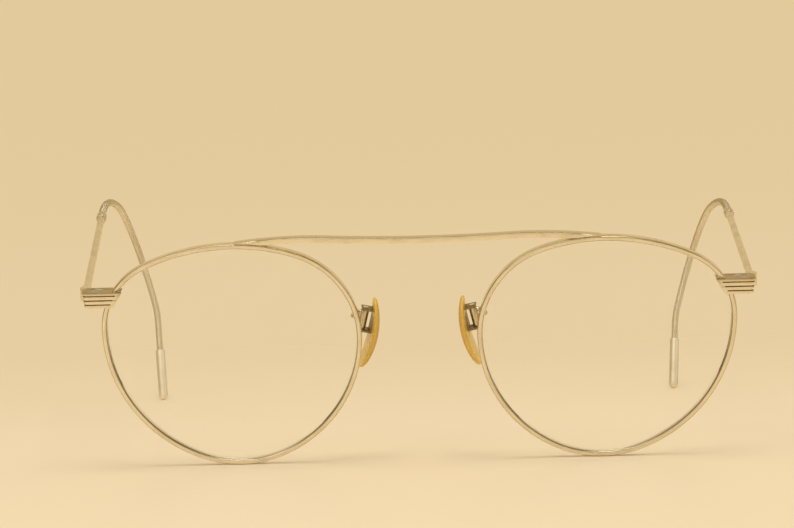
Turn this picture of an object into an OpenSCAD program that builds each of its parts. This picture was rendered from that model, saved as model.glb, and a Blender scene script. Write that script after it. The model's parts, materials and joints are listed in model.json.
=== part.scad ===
// Round wire eyeglasses with a straight brow bar, ribbed endpieces, swivelling nose pads
// and cable temples that hook behind the ear.
// The glasses stand as they do on a table, on the bottoms of both rims and both temple tips.
// X runs to the wearer's left, Y from the front to the ears, Z up, and the origin is
// under the middle of the whole, on the table.
// The front is drawn upright, u across, n back and v up from the eye centres, then leaned.

/* [Eye shape] */
// Width of the eye opening, between the rim wire's centre lines
eye_w = 45.5; // [40:0.1:50]
// Height of the eye opening, between the rim wire's centre lines
eye_h = 40.7; // [37:0.1:44]
// Gap between the rims at the nose, between the wire's centre lines
bridge_w = 21.5; // [19:0.1:25]
// Height of the rim's widest point on the temple side, above the eye centre
side_rise = 5.3; // [3:0.05:6.5]
// Height of the rim's widest point on the nose side, above the eye centre
nose_rise = 3; // [1:0.05:4]
// How far the rim's highest point lies towards the nose from the eye centre
top_shift = 0.6; // [0:0.05:1.5]
// How far the rim's lowest point lies towards the nose from the eye centre
bottom_shift = 0.9; // [0:0.05:1.5]
// Turn of the side curve before it eases into the top or bottom curve
knee = 65; // [55:1:68]
// Turn of the upper nose curve before it eases into the top curve
nose_knee = 71; // [62:1:72]

/* [Rim wire] */
// Thickness of the rim wire, seen from the front
wire_t = 0.9; // [0.8:0.05:1.2]
// Depth of the rim wire, front to back
wire_d = 1.9; // [1.7:0.05:2.4]
// Chamfer along the wire's outer edges
wire_chamfer = 0.15; // [0.05:0.01:0.25]
// Depth of the lens groove in the rim wire
groove_depth = 0.4; // [0.3:0.01:0.5]
// Width of the lens groove at the wire's inner face
groove_w = 1.1; // [0.9:0.05:1.3]

/* [Lenses] */
// Thickness of a lens
lens_t = 1.1; // [1:0.05:1.4]
// Radius of a lens's domed front
lens_r = 230; // [180:5:250]
// Room between the lens and the rim wire
lens_gap = 0.08; // [0.04:0.01:0.15]

/* [Brow bar] */
// Height of the brow bar's front face
bar_t = 1.0; // [0.8:0.05:1.3]
// Depth of the brow bar, front to back
bar_d = 1.8; // [1.4:0.05:2.2]
// How far the brow bar's shoulders stand above the rims
bar_lift = 0.95; // [0.8:0.05:1.1]
// How far the middle of the brow bar dips below its shoulders
bar_dip = 0.5; // [0.3:0.05:0.7]
// Distance of each shoulder from the eye centre, towards the nose
shoulder_back = 13; // [11:0.1:15]
// How far the tongue beyond each shoulder stands above the rim where it ends
tongue_lift = 0.12; // [0.05:0.01:0.3]
// How far each tongue stops short of the rim's highest point
tongue_back = 0.4; // [0.3:0.05:3]
// Chamfer along the brow bar's long edges
bar_chamfer = 0.12; // [0.05:0.01:0.25]

/* [Endpieces] */
// Height of the endpiece's middle above the eye centre
endpiece_v = 11.2; // [9.5:0.1:12.5]
// Height of the endpiece, both halves
endpiece_h = 2.7; // [2.4:0.05:3.4]
// Depth of the endpiece, front to back
endpiece_d = 3.5; // [3.2:0.05:4.2]
// How far the endpiece stands out past the rim's centre line
endpiece_out = 5.1; // [4.5:0.1:6]
// How far the endpiece's bottom reaches over the rim towards the lens
endpiece_in = 0.5; // [0.4:0.05:1.2]
// How much farther over the rim the endpiece's top reaches
endpiece_top_in = 1.5; // [0.8:0.05:1.8]
// How much narrower the endpiece's outer end is at the bottom
endpiece_low_in = 0.5; // [0.2:0.05:0.8]
// Radius of the endpiece's upright outer corners
endpiece_corner = 1.1; // [0.6:0.05:1.4]
// Height of a decorative groove
rib_h = 0.22; // [0.15:0.01:0.3]
// Depth of a decorative groove
rib_depth = 0.22; // [0.12:0.01:0.3]
// Distance of a groove's start from the endpiece's slanted inner end
rib_start = 0.8; // [0.5:0.05:1.2]
// Height of the upper groove above the endpiece's middle
rib_up = 0.82; // [0.7:0.01:0.95]
// Height of the lower groove below the endpiece's middle
rib_down = 0.78; // [0.7:0.01:0.95]
// Seam between the two halves, and between the rim's ends
seam = 0.06; // [0.04:0.01:0.12]

/* [Hinges] */
// Distance of the hinge screw from the endpiece's outer end
screw_in = 2.75; // [2.5:0.05:3]
// Distance of the hinge screw behind the middle of the front
screw_back = 0.25; // [0.15:0.05:0.35]
// Radius of the hinge screw's shank
screw_r = 0.6; // [0.5:0.01:0.65]
// Radius of the hinge screw's head
screw_head_r = 1.0; // [0.9:0.01:1.1]
// Height of the hinge screw's head
screw_head_h = 0.5; // [0.4:0.01:0.6]
// Width of the screw slot
screw_slot_w = 0.28; // [0.2:0.01:0.35]
// Depth of the screw slot
screw_slot_depth = 0.25; // [0.15:0.01:0.3]
// Radial room round the screw where the temple turns on it
pivot_gap = 0.03; // [0.02:0.005:0.06]
// Radial room round the screw in the endpiece
screw_gap = 0.02; // [0.01:0.005:0.05]
// Radius of the temple's flat eye
eyelet_r = 1.15; // [1.05:0.01:1.2]
// Thickness of the temple's flat eye
eyelet_t = 0.9; // [0.7:0.05:1]
// Room above and below the eye, and round it
eyelet_gap = 0.06; // [0.04:0.01:0.1]
// Width of the neck between the eye and the temple's barrel
neck_w = 1.0; // [0.8:0.05:1.2]
// Radius of the temple's upright barrel behind the endpiece
barrel_r = 1.0; // [0.85:0.05:1.1]
// How far each temple folds in
fold = 84; // [78:1:85]
// Height of the temple's barrel
barrel_h = 2.3; // [2:0.05:2.6]
// Room between the barrel and the endpiece at the open stop
stop_gap = 0.04; // [0.02:0.01:0.08]
// How far out from the hinge screw the temple wire runs
temple_out = 2.4; // [2.3:0.05:2.6]

/* [Temples] */
// Lean of the front towards the viewer when the glasses stand on a table
front_lean = 13; // [11:0.1:15]
// How far the left temple points below square to the front
left_tilt = 4.9; // [2:0.1:6]
// How far the right temple points below square to the front
right_tilt = 3; // [2:0.1:6]
// How far each open temple splays outwards
splay = 3; // [2:0.1:4.5]
// Length from the hinge barrel to the start of the long bend
temple_run = 63; // [58:0.5:72]
// Radius of the long gentle bend ahead of the ear bend
sweep_r = 88; // [80:1:100]
// Turn of the long bend
sweep_angle = 21.5; // [18:0.5:24]
// Radius of the temple wire
shaft_r = 0.65; // [0.55:0.01:0.75]
// Length of the socket where the temple wire leaves the barrel
cone_len = 3.6; // [3:0.1:5]
// Radius of that socket at the barrel
cone_r = 0.94; // [0.9:0.01:0.98]
// Radius of that socket at its open end
cone_end_r = 0.86; // [0.82:0.01:0.95]
// Depth to which the wire sits in the socket
shaft_socket = 2.4; // [1.5:0.1:2.8]
// Length of cable ahead of the long bend
cable_lead = 3; // [2.5:0.5:6]
// Radius of the wound cable
cable_r = 0.75; // [0.68:0.01:0.85]
// Radius of the cable's core wire
core_r = 0.35; // [0.25:0.01:0.42]
// Length of the collar where the cable joins the wire
ferrule_len = 3.4; // [2.5:0.1:5]
// Wall of that collar outside the cable
ferrule_wall = 0.2; // [0.12:0.01:0.3]
// Radius of the ear bend
hook_r = 19.5; // [18.5:0.5:20.5]
// Turn of the ear bend
hook_angle = 89; // [80:1:95]
// Tilt of the long bend and the ear bend towards the head
hook_tilt = 14.7; // [8:0.1:22]
// Turn of the last bend
tail_angle = 12.5; // [8:0.5:18]
// Roll of the last bend back away from the head
tail_roll = 59; // [40:1:75]
// Length of the smooth tip
tip_len = 10; // [8:0.1:11]
// Radius of the smooth tip
tip_r = 1.0; // [0.95:0.01:1.2]
// Depth of the cable's seat in the tip
tip_socket = 3; // [2:0.1:4]
// Radial room between a wire and the socket that it is soldered in
solder_gap = 0.02; // [0.01:0.005:0.04]

/* [Nose pads] */
// Height of the guard arm's foot on the rim, above the eye centre
arm_v = 5.8; // [4.5:0.1:6.5]
// Radius of the guard arm's wire
arm_r = 0.42; // [0.38:0.01:0.44]
// Length of the arm's straight foot behind the rim
arm_foot = 0.4; // [0.2:0.05:1]
// Radius of the arm's first bend, away from the nose
arm_bend_r = 1.5; // [1.2:0.05:2]
// Turn of the arm's first bend
arm_angle = 45; // [35:1:50]
// Radius of the arm's loop back towards the nose
arm_loop_r = 1.7; // [1.5:0.05:2.1]
// Turn of the arm's loop
arm_loop_angle = 150; // [140:1:160]
// Lean of the pad and its pin, wider at the bottom
pad_lean = 13.5; // [6:0.1:15]
// Turn of the pad that opens it towards the face
pad_splay = 6; // [0:0.5:10]
// Radius of the pad's pin
pin_r = 0.35; // [0.28:0.01:0.38]
// Height of each end of the pin past the box
pin_head_h = 0.1; // [0.1:0.01:0.3]
// Radius of the pin's ends
pin_head_r = 0.5; // [0.45:0.01:0.6]
// Radial room where the arm's knuckle turns on the pin
pin_gap = 0.03; // [0.02:0.005:0.05]
// Radius of the arm's knuckle
knuckle_r = 0.75; // [0.7:0.01:0.8]
// Distance from the pin to the pad box's plate
pin_off = 1.45; // [1:0.05:1.6]
// Height of the pad box
box_h = 4.4; // [4.2:0.1:5.2]
// Depth of the pad box, front to back
box_d = 2.5; // [2.2:0.05:3]
// Thickness of the pad box's sheet
box_t = 0.35; // [0.25:0.01:0.45]
// How far the pad box's lips reach past the pin
lip_past = 0.65; // [0.55:0.05:0.8]
// Room between the knuckle and the box's lips
lip_gap = 0.1; // [0.06:0.01:0.2]
// Radius of the stud that holds the box in the pad
stud_r = 0.5; // [0.4:0.01:0.6]
// Length of that stud
stud_len = 0.55; // [0.4:0.01:0.65]
// How deep the box's plate is let into the pad
pad_inset = 0.2; // [0.15:0.01:0.3]
// Length of the pad
pad_len = 13.4; // [11.5:0.1:14]
// Depth of the pad, front to back
pad_d = 7; // [6:0.1:7.5]
// Thickness of the pad at its middle
pad_t = 1.45; // [1.25:0.05:1.8]
// Radius of the pad's domed face, towards the nose
pad_dome_r = 16.5; // [15:0.5:20]
// Radius of the pad's hollow back
pad_back_r = 24; // [20:1:40]
// How far the pad's middle hangs below the box's middle
pad_drop = 2.5; // [2.1:0.1:3]

/* [Hidden] */
$fn = 64;

metal = [0.78, 0.77, 0.73];
dark_metal = [0.45, 0.43, 0.4];
amber = [0.78, 0.6, 0.25];
clear = [0.92, 0.95, 0.95, 0.3];
// A length past any part, for cuts that run right through
through = 60;
// Where one curve runs on from another, the thicker piece is larger by a hair,
// and the thinner runs on into it, so that they join as one solid.
hair = 0.01;
run_on = 0.05;
// Steps in a circle as large as the lens's dome
fine = 720;
// Shares of the groove's depth at which the lens's edge steps down
bevel_steps = [0.35, 0.75];

// The rim is eight tangent arcs, two in each quarter. The first arc of a quarter starts at
// the rim's widest point and the second ends at its highest or lowest point.
// A quarter a wide and b tall with its knee at angle k gives the two radii.
function quarter_radii(a, b, k) =
    let (c = cos(k), s = sin(k), det = (1 - c) * (1 - s) - c * s)
    [(a * (1 - s) - b * c) / det, (b * (1 - c) - a * s) / det];
// One quarter's arcs as [centre, radius, start, end], from its widest point at side, height h.
function quarter_arcs(side, h, a, b, k, from, sense) =
    let (r = quarter_radii(a, b, k),
         c1 = [side * (eye_w / 2 - r[0]), h],
         turn = from + sense * k,
         c2 = c1 + (r[0] - r[1]) * [cos(turn), sin(turn)])
    [[c1, r[0], min(from, turn), max(from, turn)],
     [c2, r[1], min(turn, from + sense * 90), max(turn, from + sense * 90)]];
side_top = quarter_arcs(1, side_rise, eye_w / 2 + top_shift, eye_h / 2 - side_rise, knee, 0, 1);
nose_top = quarter_arcs(-1, nose_rise, eye_w / 2 - top_shift, eye_h / 2 - nose_rise,
                        nose_knee, 180, -1);
nose_bottom = quarter_arcs(-1, nose_rise, eye_w / 2 - bottom_shift, eye_h / 2 + nose_rise,
                           knee, 180, 1);
side_bottom = quarter_arcs(1, side_rise, eye_w / 2 + bottom_shift, eye_h / 2 + side_rise,
                           knee, 360, -1);
rim_arcs = [side_top[0], side_top[1], nose_top[1], nose_top[0],
            nose_bottom[0], nose_bottom[1], side_bottom[1], side_bottom[0]];
// Points along the rim, moved off its centre line by off
arc_steps = 10;
function rim_points(off) =
    [for (a = rim_arcs, i = [0 : arc_steps - 1])
        let (t = a[2] + (a[3] - a[2]) * i / arc_steps)
        a[0] + (a[1] + off) * [cos(t), sin(t)]];

eye_u = (eye_w + bridge_w) / 2;
// The rim arc that the endpiece sits on, and where it crosses the endpiece's middle
end_arc = side_top[0];
end_arc_u = eye_u + end_arc[0][0];
end_rim_u = end_arc_u + sqrt(pow(end_arc[1], 2) - pow(endpiece_v - end_arc[0][1], 2));
end_outer_u = end_rim_u + endpiece_out;
end_inner_u = end_rim_u - endpiece_in;
end_top_u = end_inner_u - endpiece_top_in;
screw_u = end_outer_u - screw_in;
slot_h = eyelet_t + 2 * eyelet_gap;
slot_r = eyelet_r + 2 * eyelet_gap;
// The barrel stops against the rounded rear corner of the endpiece.
past_corner = max(0, temple_out + endpiece_corner - screw_in);
barrel_n = endpiece_d / 2 - endpiece_corner
         + sqrt(pow(endpiece_corner + barrel_r + stop_gap, 2) - pow(past_corner, 2));
// The eye's neck points this far round from straight out, and the slot clears it when folded.
neck_turn = atan2(barrel_n - screw_back, temple_out);
folded_turn = neck_turn + fold;
slot_in = (neck_w / 2 - (endpiece_d / 2 - screw_back) * cos(folded_turn)) / sin(folded_turn)
        + 2 * eyelet_gap;

// A path frame is [place, outward, along, up].
function go(f, d) = [f[0] + d * f[2], f[1], f[2], f[3]];
function roll(f, a) = [f[0], cos(a) * f[1] - sin(a) * f[3], f[2], sin(a) * f[1] + cos(a) * f[3]];
function bend(f, r, a) =
    [f[0] + r * sin(a) * f[2] - r * (1 - cos(a)) * f[3], f[1],
     cos(a) * f[2] - sin(a) * f[3], sin(a) * f[2] + cos(a) * f[3]];

// Each frame along a temple that points tilt below square to the front
function temple_start(tilt) =
    [[screw_u + temple_out, barrel_n, endpiece_v],
     [cos(splay), -sin(splay), 0],
     [sin(splay) * cos(tilt), cos(splay) * cos(tilt), -sin(tilt)],
     [sin(splay) * sin(tilt), cos(splay) * sin(tilt), cos(tilt)]];
function cable_start(tilt) = go(temple_start(tilt), temple_run - cable_lead);
function sweep_start(tilt) = roll(go(temple_start(tilt), temple_run), hook_tilt);
function hook_start(tilt) = bend(sweep_start(tilt), sweep_r, sweep_angle);
function tail_start(tilt) = roll(bend(hook_start(tilt), hook_r, hook_angle), -tail_roll);
function run_start(tilt) = bend(tail_start(tilt), hook_r, tail_angle);

// The rim's lowest corner and the tips all touch the table.
rim_low = (eye_h + wire_t) / 2 * cos(front_lean) + (wire_d / 2 - wire_chamfer) * sin(front_lean);
function height(p) = p.y * sin(front_lean) + p.z * cos(front_lean) + rim_low;
function depth(p) = p.y * cos(front_lean) - p.z * sin(front_lean);
function end_run(tilt) =
    let (f = run_start(tilt), down = f[2].y * sin(front_lean) + f[2].z * cos(front_lean))
    (height(f[0]) - tip_r) / -down;

// The foremost and rearmost points set where the origin lies.
rim_top = (eye_h + wire_t) / 2;
// The brow bar's top line is three tangent arcs: a dip between two shoulders, and from each
// shoulder an arc that falls to the tongue's end.
bar_top = rim_top + bar_lift;
shoulder_u = eye_u - shoulder_back;
tongue_run = eye_u - top_shift - tongue_back - shoulder_u;
tongue_fall = bar_lift - tongue_lift;
shoulder_r = (pow(tongue_run, 2) + pow(tongue_fall, 2)) / (2 * tongue_fall);
dip_r = (pow(shoulder_u, 2) + pow(bar_dip, 2)) / (2 * bar_dip) - shoulder_r;
dip_turn = asin(shoulder_u / (dip_r + shoulder_r));
tongue_turn = asin(tongue_run / shoulder_r);
front_most = min(depth([0, -wire_d / 2, rim_top - wire_chamfer]),
                 depth([0, wire_chamfer - wire_d / 2, rim_top]),
                 depth([0, -bar_d / 2, bar_top - bar_chamfer]),
                 depth([0, bar_chamfer - bar_d / 2, bar_top]));
rear_most = max([for (t = [left_tilt, right_tilt], a = [0 : 0.5 : hook_angle])
                 depth(bend(hook_start(t), hook_r, a)[0])]) + cable_r;
origin_y = -(front_most + rear_most) / 2;

// The guard arm runs level in plan: back off the rim, out, and round to the knuckle.
// The rim's nose side crosses the arm's height here, on its upper arc.
arm_arc = nose_top[0];
arm_u = eye_u + arm_arc[0][0] - sqrt(pow(arm_arc[1], 2) - pow(arm_v - arm_arc[0][1], 2));
arm_start = [[arm_u, wire_d / 2, arm_v], [0, 0, 1], [0, 1, 0], [-1, 0, 0]];
arm_first = go(arm_start, arm_foot);
arm_second = roll(bend(arm_first, arm_bend_r, arm_angle), 180);
arm_end = bend(arm_second, arm_loop_r, arm_loop_angle);
// The pin passes through the arm's end, and the pad box is centred this far below it.
knuckle_h = box_h - 2 * (box_t + lip_gap);
box_below = knuckle_h / 2 - arm_r;
// The centres of the pad's hollow back and domed face lie this far out from the pin.
plate_x = -pin_off - box_t;
back_x = plate_x + pad_inset + sqrt(pow(pad_back_r, 2) - pow(pad_drop, 2));
dome_x = back_x - pad_back_r - pad_t + pad_dome_r;

module at(f)
    multmatrix([[f[1].x, f[2].x, f[3].x, f[0].x],
                [f[1].y, f[2].y, f[3].y, f[0].y],
                [f[1].z, f[2].z, f[3].z, f[0].z],
                [0, 0, 0, 1]])
        children();
module stood()
    translate([0, origin_y, rim_low]) rotate([front_lean, 0, 0]) children();
// Parts are drawn for the side at +X. That is the wearer's left, and right parts mirror them.
module sided(side)
    stood() mirror([side < 0 ? 1 : 0, 0, 0]) children();
// Rods run along a frame, solid or with a bore.
module rod(f, len, r, bore = 0)
    at(f) rotate([-90, 0, 0]) linear_extrude(height = len) round_section(r, bore);
module bent_rod(f, bend_r, turn, r, bore = 0)
    at(f) translate([0, 0, -bend_r]) rotate([0, -90, 0])
        rotate_extrude(angle = turn) translate([bend_r, 0]) round_section(r, bore);
// A bent rod, a hair thinner, that runs on past both its ends
module lapped_rod(f, bend_r, turn, r, bore = 0) {
    lap = run_on / bend_r * 180 / PI;
    bent_rod(bend(f, bend_r, -lap), bend_r, turn + 2 * lap, r - hair, thinned(bore));
}
module round_section(r, bore) difference() {
    circle(r = r);
    if (bore > 0) circle(r = bore);
}
function thinned(bore) = bore > 0 ? bore + hair : 0;
// A solid drawn flat as [u, v] and given a depth that is centred on the front
module front_plate(d)
    rotate([90, 0, 0]) linear_extrude(height = d, center = true) children();
// Sweeps two sections, drawn as [out from the wire's centre line, depth], round the rim.
// The first section is a hair larger, and the arcs that have the second run on into it.
module round_the_rim()
    for (i = [0 : len(rim_arcs) - 1])
        let (a = rim_arcs[i], lap = i % 2 * run_on / a[1] * 180 / PI)
        translate([a[0].x, 0, a[0].y]) rotate([90, 0, 0]) rotate([0, 0, a[2] - lap])
            rotate_extrude(angle = a[3] - a[2] + 2 * lap) translate([a[1], 0])
                if (i % 2 == 0) children(0); else children(1);

module bar_section(grow) {
    t = bar_t / 2 + grow;
    d = bar_d / 2 + grow;
    c = bar_chamfer;
    polygon([[-t, c - d], [c - t, -d], [t - c, -d], [t, c - d],
             [t, d - c], [t - c, d], [c - t, d], [-t, d - c]]);
}

module brow_bar() {
    top_arc = nose_top[1];
    lap = run_on / dip_r * 180 / PI;
    color(metal) stood() difference() {
        union() {
            translate([0, 0, bar_top - bar_dip + dip_r]) rotate([90, 0, 0])
                rotate([0, 0, 270 - dip_turn - lap])
                    rotate_extrude(angle = 2 * (dip_turn + lap), $fn = fine)
                        translate([dip_r + bar_t / 2, 0]) bar_section(-hair);
            for (s = [-1, 1])
                mirror([s < 0 ? 1 : 0, 0, 0])
                    translate([shoulder_u, 0, bar_top - shoulder_r]) rotate([90, 0, 0])
                        rotate([0, 0, 90 - tongue_turn])
                            rotate_extrude(angle = tongue_turn + dip_turn, $fn = fine)
                                translate([shoulder_r - bar_t / 2, 0]) bar_section(0);
        }
        for (s = [-1, 1])
            translate([s * (eye_u + top_arc[0].x), 0, top_arc[0].y]) rotate([90, 0, 0])
                cylinder(r = top_arc[1] + wire_t / 2, h = 2 * bar_d, center = true);
    }
}

module wire_section(grow) {
    t = wire_t / 2 + grow;
    d = wire_d / 2 + grow;
    c = wire_chamfer;
    g = groove_w / 2 - grow;
    polygon([[-t, -d], [t - c, -d], [t, c - d], [t, d - c], [t - c, d], [-t, d],
             [-t, g], [groove_depth - t, 0], [-t, -g]]);
}

module eyewire(side) {
    color(metal) sided(side) difference() {
        translate([eye_u, 0, 0]) round_the_rim() {
            wire_section(0);
            wire_section(-hair);
        }
        translate([end_arc_u, -wire_d, endpiece_v - seam / 2]) cube([through, 2 * wire_d, seam]);
    }
}

// The lens's edge steps down into the groove, along the line of its bevel.
module lens(side) {
    edge = wire_t / 2 + lens_gap;
    sag = lens_r - sqrt(pow(lens_r, 2) - pow(eye_w / 2, 2));
    slope = groove_w / 2 / groove_depth;
    color(clear) sided(side) translate([eye_u, 0, 0]) {
        intersection() {
            front_plate(2 * wire_d) polygon(rim_points(-edge));
            rotate([90, 0, 0]) rotate_extrude() difference() {
                intersection() {
                    translate([0, lens_t / 2 + sag - lens_r])
                        circle(r = lens_r, $fn = fine);
                    translate([0, -2 * lens_t]) square([eye_w, through]);
                }
                translate([0, lens_t / 2 + sag - lens_r])
                    circle(r = lens_r - lens_t, $fn = fine);
            }
        }
        for (share = bevel_steps)
            front_plate(2 * slope * (1 - share) * (groove_depth - lens_gap))
                polygon(rim_points(-edge + share * (groove_depth - lens_gap)));
    }
}

// The endpiece's outline from above, drawn in from its faces by inset
module endpiece_plan(inset) {
    r = endpiece_corner;
    out = end_outer_u - inset;
    d = endpiece_d / 2 - inset;
    translate([end_top_u, -d]) square([out - r - end_top_u, 2 * d]);
    translate([end_top_u, r - d]) square([out - end_top_u, 2 * (d - r)]);
    for (s = [-1, 1])
        translate([out - r, s * (d - r)]) circle(r = r);
}

// One half of an endpiece: half is 1 for the upper one and -1 for the lower one
module endpiece_half(side, half) {
    h = endpiece_h / 2;
    color(metal) sided(side) difference() {
        intersection() {
            translate([0, 0, endpiece_v - h]) linear_extrude(height = 2 * h) endpiece_plan(0);
            front_plate(2 * endpiece_d)
                polygon([[end_top_u, endpiece_v + h],
                         [end_inner_u, endpiece_v - h],
                         [end_outer_u - endpiece_low_in, endpiece_v - h],
                         [end_outer_u, endpiece_v + h]]);
            translate([0, -endpiece_d, endpiece_v + (half > 0 ? seam / 2 : -through - seam / 2)])
                cube([2 * through, 2 * endpiece_d, through]);
        }
        // The rim's ends and the lens edge lie in a channel through the block
        translate([end_arc_u, 0, end_arc[0].y]) rotate([90, 0, 0])
            cylinder(r = end_arc[1] + wire_t / 2, h = wire_d, center = true);
        // The temple's eye turns in a slot that is open at the back and the outer end
        translate([screw_u, screw_back, endpiece_v])
            cylinder(r = slot_r, h = slot_h, center = true);
        translate([screw_u - slot_in, screw_back, endpiece_v - slot_h / 2])
            cube([through, through, slot_h]);
        for (z = [rib_up, 0, -rib_down])
            translate([0, 0, endpiece_v + z - rib_h / 2]) difference() {
                translate([end_inner_u - endpiece_top_in * (z + h) / (2 * h) + rib_start,
                           -endpiece_d, 0])
                    cube([through, 2 * endpiece_d, rib_h]);
                linear_extrude(height = rib_h) endpiece_plan(rib_depth);
            }
        translate([screw_u, screw_back, endpiece_v - endpiece_h])
            cylinder(r = screw_r + screw_gap, h = 2 * endpiece_h);
        translate([screw_u, screw_back, endpiece_v + h - screw_head_h])
            cylinder(r = screw_head_r + screw_gap, h = 2 * screw_head_h);
    }
}

module hinge_screw(side) {
    top = endpiece_v + endpiece_h / 2;
    color(metal) sided(side) translate([screw_u, screw_back, 0]) difference() {
        union() {
            translate([0, 0, top - endpiece_h]) cylinder(r = screw_r, h = endpiece_h);
            translate([0, 0, top - screw_head_h]) cylinder(r = screw_head_r, h = screw_head_h);
        }
        translate([0, 0, top]) rotate([0, 0, 25])
            cube([4 * screw_head_r, screw_slot_w, 2 * screw_slot_depth], center = true);
    }
}

module temple_knuckle(side, tilt) {
    f = temple_start(tilt);
    neck_len = norm([temple_out, barrel_n - screw_back]);
    color(metal) sided(side) difference() {
        union() {
            translate([screw_u, screw_back, endpiece_v]) {
                cylinder(r = eyelet_r, h = eyelet_t, center = true);
                rotate([0, 0, neck_turn])
                    translate([0, -neck_w / 2, -eyelet_t / 2])
                        cube([neck_len, neck_w, eyelet_t]);
            }
            translate(f[0]) cylinder(r = barrel_r, h = barrel_h, center = true);
            at(f) rotate([-90, 0, 0]) cylinder(r1 = cone_r, r2 = cone_end_r, h = cone_len);
        }
        translate([screw_u, screw_back, endpiece_v])
            cylinder(r = screw_r + pivot_gap, h = 2 * eyelet_t, center = true);
        rod(go(f, cone_len - shaft_socket), 2 * shaft_socket, shaft_r + solder_gap);
    }
}

module temple_shaft(side, tilt) {
    first = cone_len - shaft_socket;
    last = temple_run - cable_lead;
    f = temple_start(tilt);
    color(metal) sided(side) difference() {
        rod(go(f, first), last - first, shaft_r);
        rod(go(f, last - ferrule_len / 2), ferrule_len, core_r + solder_gap);
    }
}

module ferrule(side, tilt) {
    f = cable_start(tilt);
    r = cable_r + solder_gap;
    color(metal) sided(side) difference() {
        rod(go(f, -ferrule_len / 2), ferrule_len, r + ferrule_wall);
        rod(go(f, -ferrule_len), 2 * ferrule_len, shaft_r + solder_gap);
        rod(f, ferrule_len, r);
    }
}

// The cable's centre line from its start to the tip, as a round bar or tube of radius r
module cable_bar(tilt, r, bore, ahead, into_tip) {
    rod(go(cable_start(tilt), -ahead), cable_lead + ahead, r, bore);
    lapped_rod(sweep_start(tilt), sweep_r, sweep_angle, r, bore);
    bent_rod(hook_start(tilt), hook_r, hook_angle, r, bore);
    lapped_rod(tail_start(tilt), hook_r, tail_angle, r, bore);
    rod(run_start(tilt), end_run(tilt) - tip_len + into_tip, r, bore);
}

module cable_core(side, tilt) {
    color(metal) sided(side)
        cable_bar(tilt, core_r, 0, ferrule_len / 2 - solder_gap, 2 * tip_socket);
}

module cable(side, tilt) {
    color(metal) sided(side) cable_bar(tilt, cable_r, core_r + solder_gap, 0, tip_socket);
}

module temple_tip(side, tilt) {
    f = go(run_start(tilt), end_run(tilt) - tip_len);
    seat = tip_socket + solder_gap;
    color(metal) sided(side) at(f) rotate([-90, 0, 0]) rotate_extrude() difference() {
        intersection() {
            union() {
                square([tip_r, tip_len]);
                translate([0, tip_len]) circle(r = tip_r);
            }
            square([tip_r, 2 * tip_len]);
        }
        square([cable_r + solder_gap, seat]);
        square([core_r + solder_gap, seat + tip_socket]);
    }
}

// Draws in the pad pin's own frame: z along the pin from the box's middle, x away from the nose
module on_pin()
    translate(arm_end[0]) rotate([0, -pad_lean, 0]) translate([0, 0, -box_below]) children();

module guard_arm(side) {
    color(metal) sided(side) difference() {
        union() {
            rod(arm_start, arm_foot, arm_r);
            lapped_rod(arm_first, arm_bend_r, arm_angle, arm_r);
            bent_rod(arm_second, arm_loop_r, arm_loop_angle, arm_r);
            on_pin() cylinder(r = knuckle_r, h = knuckle_h, center = true);
        }
        on_pin() cylinder(r = pin_r + pin_gap, h = 2 * box_h, center = true);
    }
}

module pad_box(side) {
    color(dark_metal) sided(side) on_pin() rotate([0, 0, -pad_splay]) difference() {
        union() {
            translate([plate_x, -box_d / 2, -box_h / 2]) cube([box_t, box_d, box_h]);
            for (z = [-box_h / 2, box_h / 2 - box_t])
                translate([plate_x, -box_d / 2, z]) cube([lip_past - plate_x, box_d, box_t]);
            translate([plate_x, 0, 0]) rotate([0, -90, 0]) cylinder(r = stud_r, h = stud_len);
        }
        cylinder(r = pin_r, h = 2 * box_h, center = true);
    }
}

module pad_pin(side) {
    color(metal) sided(side) on_pin() {
        cylinder(r = pin_r, h = box_h, center = true);
        for (z = [-box_h / 2 - pin_head_h, box_h / 2])
            translate([0, 0, z]) cylinder(r = pin_head_r, h = pin_head_h);
    }
}

module nose_pad(side) {
    // An oval a little fuller below its middle
    fuller = 0.06;
    oval = [for (a = [0 : 7.5 : 352.5])
            [pad_d / 2 * cos(a) * (1 - fuller * sin(a)), pad_len / 2 * sin(a)]];
    color(amber) sided(side) on_pin() rotate([0, 0, -pad_splay]) difference() {
        intersection() {
            translate([dome_x, 0, -pad_drop]) sphere(r = pad_dome_r);
            translate([dome_x, 0, -pad_drop]) rotate([0, -90, 0]) linear_extrude(height = through)
                polygon([for (p = oval) [p.y, p.x]]);
        }
        translate([back_x, 0, -pad_drop]) rotate([90, 0, 0])
            cylinder(r = pad_back_r, h = 2 * pad_d, center = true);
        translate([plate_x, -box_d / 2, -box_h / 2]) cube([pad_t, box_d, box_h]);
        translate([plate_x, 0, 0]) rotate([0, -90, 0]) cylinder(r = stud_r, h = stud_len);
    }
}

brow_bar();
eyewire(1);  // left_eyewire
eyewire(-1);  // right_eyewire
lens(1);  // left_lens
lens(-1);  // right_lens
endpiece_half(1, 1);  // left_endpiece_upper
endpiece_half(-1, 1);  // right_endpiece_upper
endpiece_half(1, -1);  // left_endpiece_lower
endpiece_half(-1, -1);  // right_endpiece_lower
hinge_screw(1);  // left_hinge_screw
hinge_screw(-1);  // right_hinge_screw
temple_knuckle(1, left_tilt);  // left_temple_knuckle
temple_knuckle(-1, right_tilt);  // right_temple_knuckle
temple_shaft(1, left_tilt);  // left_temple_shaft
temple_shaft(-1, right_tilt);  // right_temple_shaft
ferrule(1, left_tilt);  // left_ferrule
ferrule(-1, right_tilt);  // right_ferrule
cable_core(1, left_tilt);  // left_cable_core
cable_core(-1, right_tilt);  // right_cable_core
cable(1, left_tilt);  // left_cable
cable(-1, right_tilt);  // right_cable
temple_tip(1, left_tilt);  // left_temple_tip
temple_tip(-1, right_tilt);  // right_temple_tip
guard_arm(1);  // left_guard_arm
guard_arm(-1);  // right_guard_arm
pad_box(1);  // left_pad_box
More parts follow.
